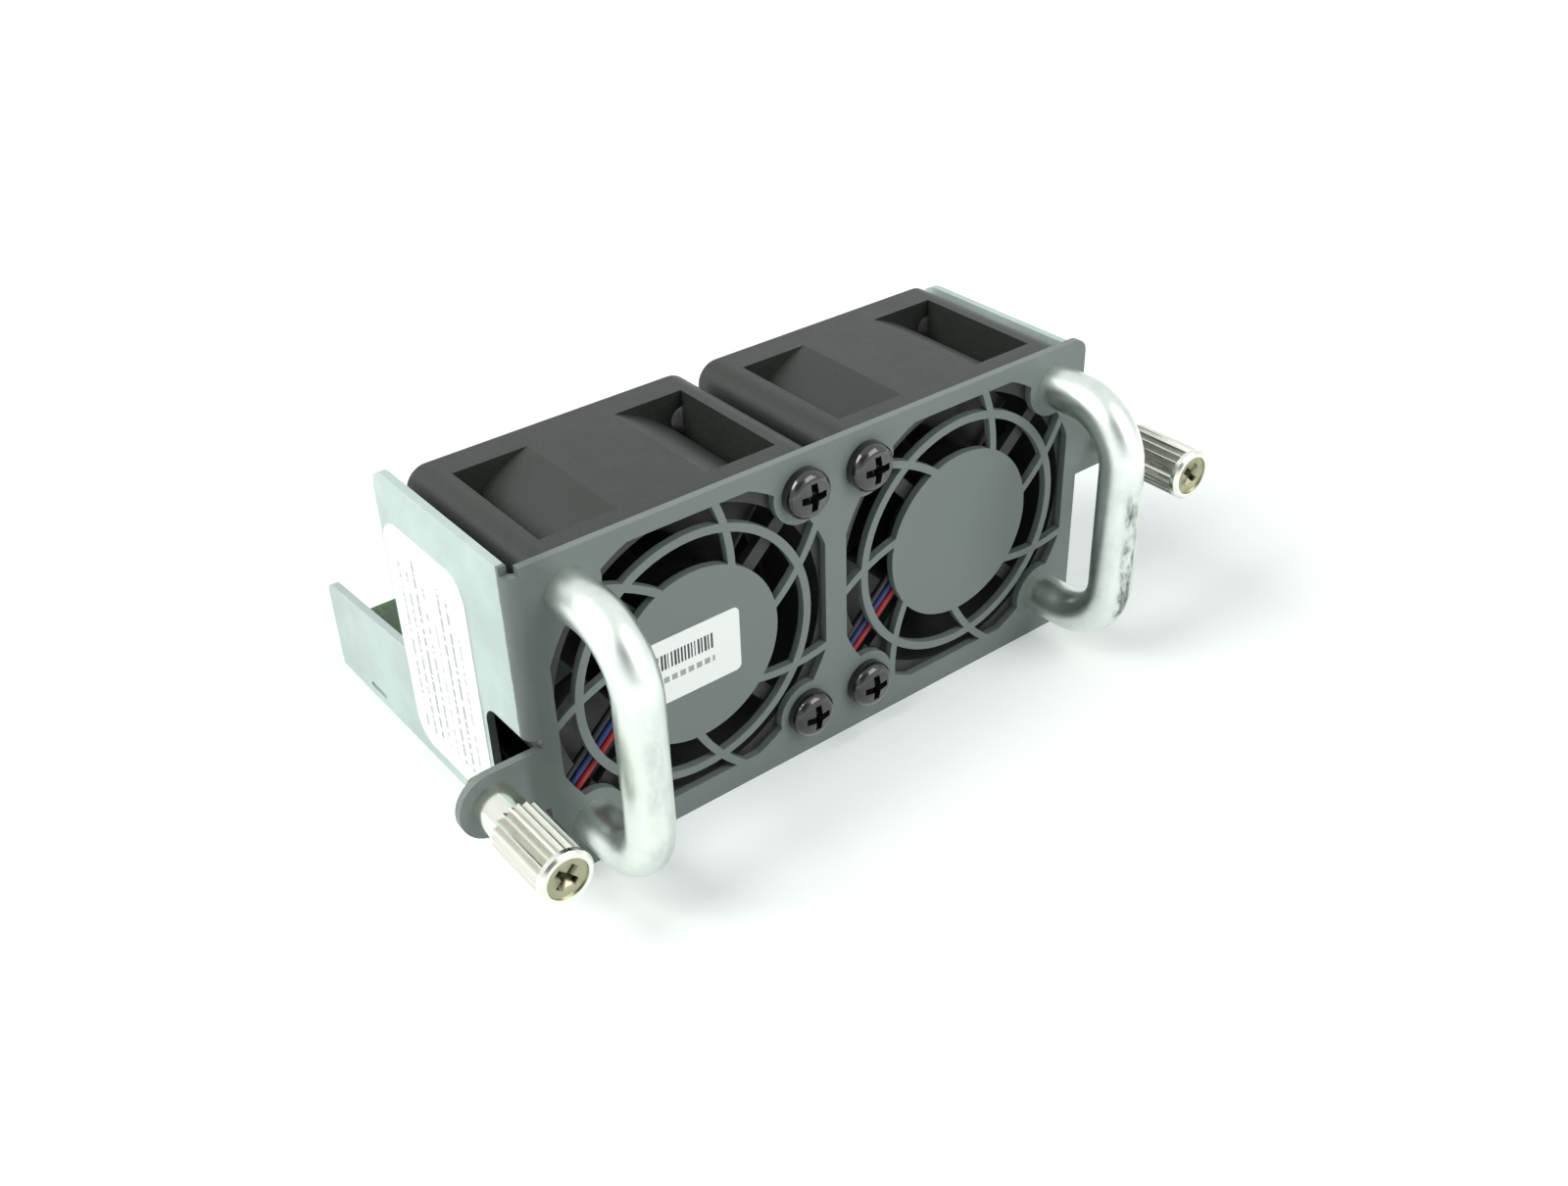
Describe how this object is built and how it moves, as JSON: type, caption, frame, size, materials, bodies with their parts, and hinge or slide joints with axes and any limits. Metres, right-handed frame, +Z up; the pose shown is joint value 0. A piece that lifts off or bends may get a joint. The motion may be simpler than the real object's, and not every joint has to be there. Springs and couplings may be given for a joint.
{
  "type": "switch fan tray",
  "caption": "Hot-swap fan tray for a network switch: folded sheet tray, ducted fans behind cut finger guards, bent pull handles, captive thumbscrews and a rear connector board.",
  "frame": {"origin": "middle of the overall box in X and Y, at the level of its lowest edge, which is the front plate's lower edge", "axes": "+X to the right seen from the front, +Y to the back, into the chassis, +Z up"},
  "size_m": [0.105, 0.0686, 0.0434],
  "materials": {
    "plate_paint": "satin grey paint on the front, bare zinc on the walls",
    "fan_plastic": "matte black moulded",
    "impeller_plastic": "matte black moulded",
    "steel": "plain steel",
    "black_steel": "black zinc plated",
    "nickel": "bright nickel plated",
    "head_zinc": "yellowish zinc plated",
    "handle_aluminium": "satin bright",
    "magnet_ferrite": "bonded ferrite",
    "copper": "enamelled wire",
    "board_green": "solder mask",
    "connector_plastic": "moulded black",
    "header_plastic": "moulded natural",
    "contact_metal": "plated",
    "lead_red": "smooth insulation",
    "lead_blue": "smooth insulation",
    "lead_black": "smooth insulation",
    "label_paper": "white film"
  },
  "bodies": {
    "tray": {"tray_sheet": "plate_paint", "fan_screws": "black_steel", "handle_screws": "black_steel", "connector_board": "board_green", "board_standoffs": "steel", "board_screws": "steel", "rear_connector": "connector_plastic", "connector_tails": "contact_metal", "side_label": "label_paper", "hub_label": "label_paper", "left_fan_frame": "fan_plastic", "left_bearings": "steel", "left_stator": "steel", "left_windings": "copper", "left_motor_board": "board_green", "left_lead_header": "header_plastic", "left_lead_plug": "header_plastic", "left_red_lead": "lead_red", "left_blue_lead": "lead_blue", "left_black_lead": "lead_black", "left_handle": "handle_aluminium", "left_collar": "nickel", "right_fan_frame": "fan_plastic", "right_bearings": "steel", "right_stator": "steel", "right_windings": "copper", "right_motor_board": "board_green", "right_lead_header": "header_plastic", "right_lead_plug": "header_plastic", "right_red_lead": "lead_red", "right_blue_lead": "lead_blue", "right_black_lead": "lead_black", "right_handle": "handle_aluminium", "right_collar": "nickel"},
    "left_rotor": {"left_impeller": "impeller_plastic", "left_rotor_cup": "steel", "left_magnet": "magnet_ferrite", "left_shaft": "steel", "left_shaft_clip": "steel"},
    "left_retainer": {"left_snap_ring": "steel", "left_spring": "steel"},
    "left_thumbscrew": {"left_knob": "nickel", "left_thumb_screw": "head_zinc"},
    "right_rotor": {"right_impeller": "impeller_plastic", "right_rotor_cup": "steel", "right_magnet": "magnet_ferrite", "right_shaft": "steel", "right_shaft_clip": "steel"},
    "right_retainer": {"right_snap_ring": "steel", "right_spring": "steel"},
    "right_thumbscrew": {"right_knob": "nickel", "right_thumb_screw": "head_zinc"}
  },
  "joints": [
    {"name": "left_fan_spin", "type": "hinge", "parent": "tray", "child": "left_rotor", "pos_m": [-0.02014, -0.0191, 0.0224], "axis": [0, 1, 0], "continuous": true},
    {"name": "right_fan_spin", "type": "hinge", "parent": "tray", "child": "right_rotor", "pos_m": [0.02154, -0.0191, 0.0224], "axis": [0, 1, 0], "continuous": true},
    {"name": "left_thumb_slide", "type": "slide", "parent": "tray", "child": "left_retainer", "axis": [0, 1, 0], "range_m": [0, 0.0042], "stiffness_N_per_m": 400, "springref_m": -0.004, "deforming": ["left_spring"]},
    {"name": "left_thumb_spin", "type": "hinge", "parent": "left_retainer", "child": "left_thumbscrew", "pos_m": [-0.04825, -0.0191, 0.0155], "axis": [0, 1, 0], "continuous": true},
    {"name": "right_thumb_slide", "type": "slide", "parent": "tray", "child": "right_retainer", "axis": [0, 1, 0], "range_m": [0, 0.0042], "stiffness_N_per_m": 400, "springref_m": -0.004, "deforming": ["right_spring"]},
    {"name": "right_thumb_spin", "type": "hinge", "parent": "right_retainer", "child": "right_thumbscrew", "pos_m": [0.04825, -0.0191, 0.0274], "axis": [0, 1, 0], "continuous": true}
  ]
}
